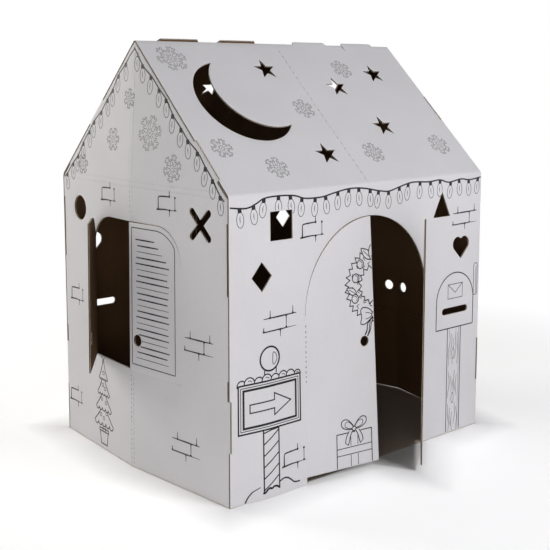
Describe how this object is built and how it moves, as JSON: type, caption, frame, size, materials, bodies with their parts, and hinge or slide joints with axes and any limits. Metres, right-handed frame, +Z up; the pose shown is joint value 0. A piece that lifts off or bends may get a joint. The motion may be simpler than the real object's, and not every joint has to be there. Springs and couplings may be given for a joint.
{
  "type": "cardboard coloring playhouse",
  "caption": "Slot-together corrugated cardboard playhouse with a gabled roof, arched double door, shuttered windows and cut-out moon, stars and shapes, printed with outlines to colour in.",
  "frame": {"origin": "middle of the house's whole outline seen from above, open leaf and open shutter included, at floor level", "axes": "+Z up; the door wall faces -Y; the ridge runs along X"},
  "size_m": [1.0026, 0.7954, 0.9808],
  "materials": {
    "white_board": "matte white outer liner, brown kraft inner liner"
  },
  "bodies": {
    "root": {"front_sheet": "white_board", "rear_sheet": "white_board", "left_gable": "white_board", "right_gable": "white_board"}
  },
  "joints": []
}
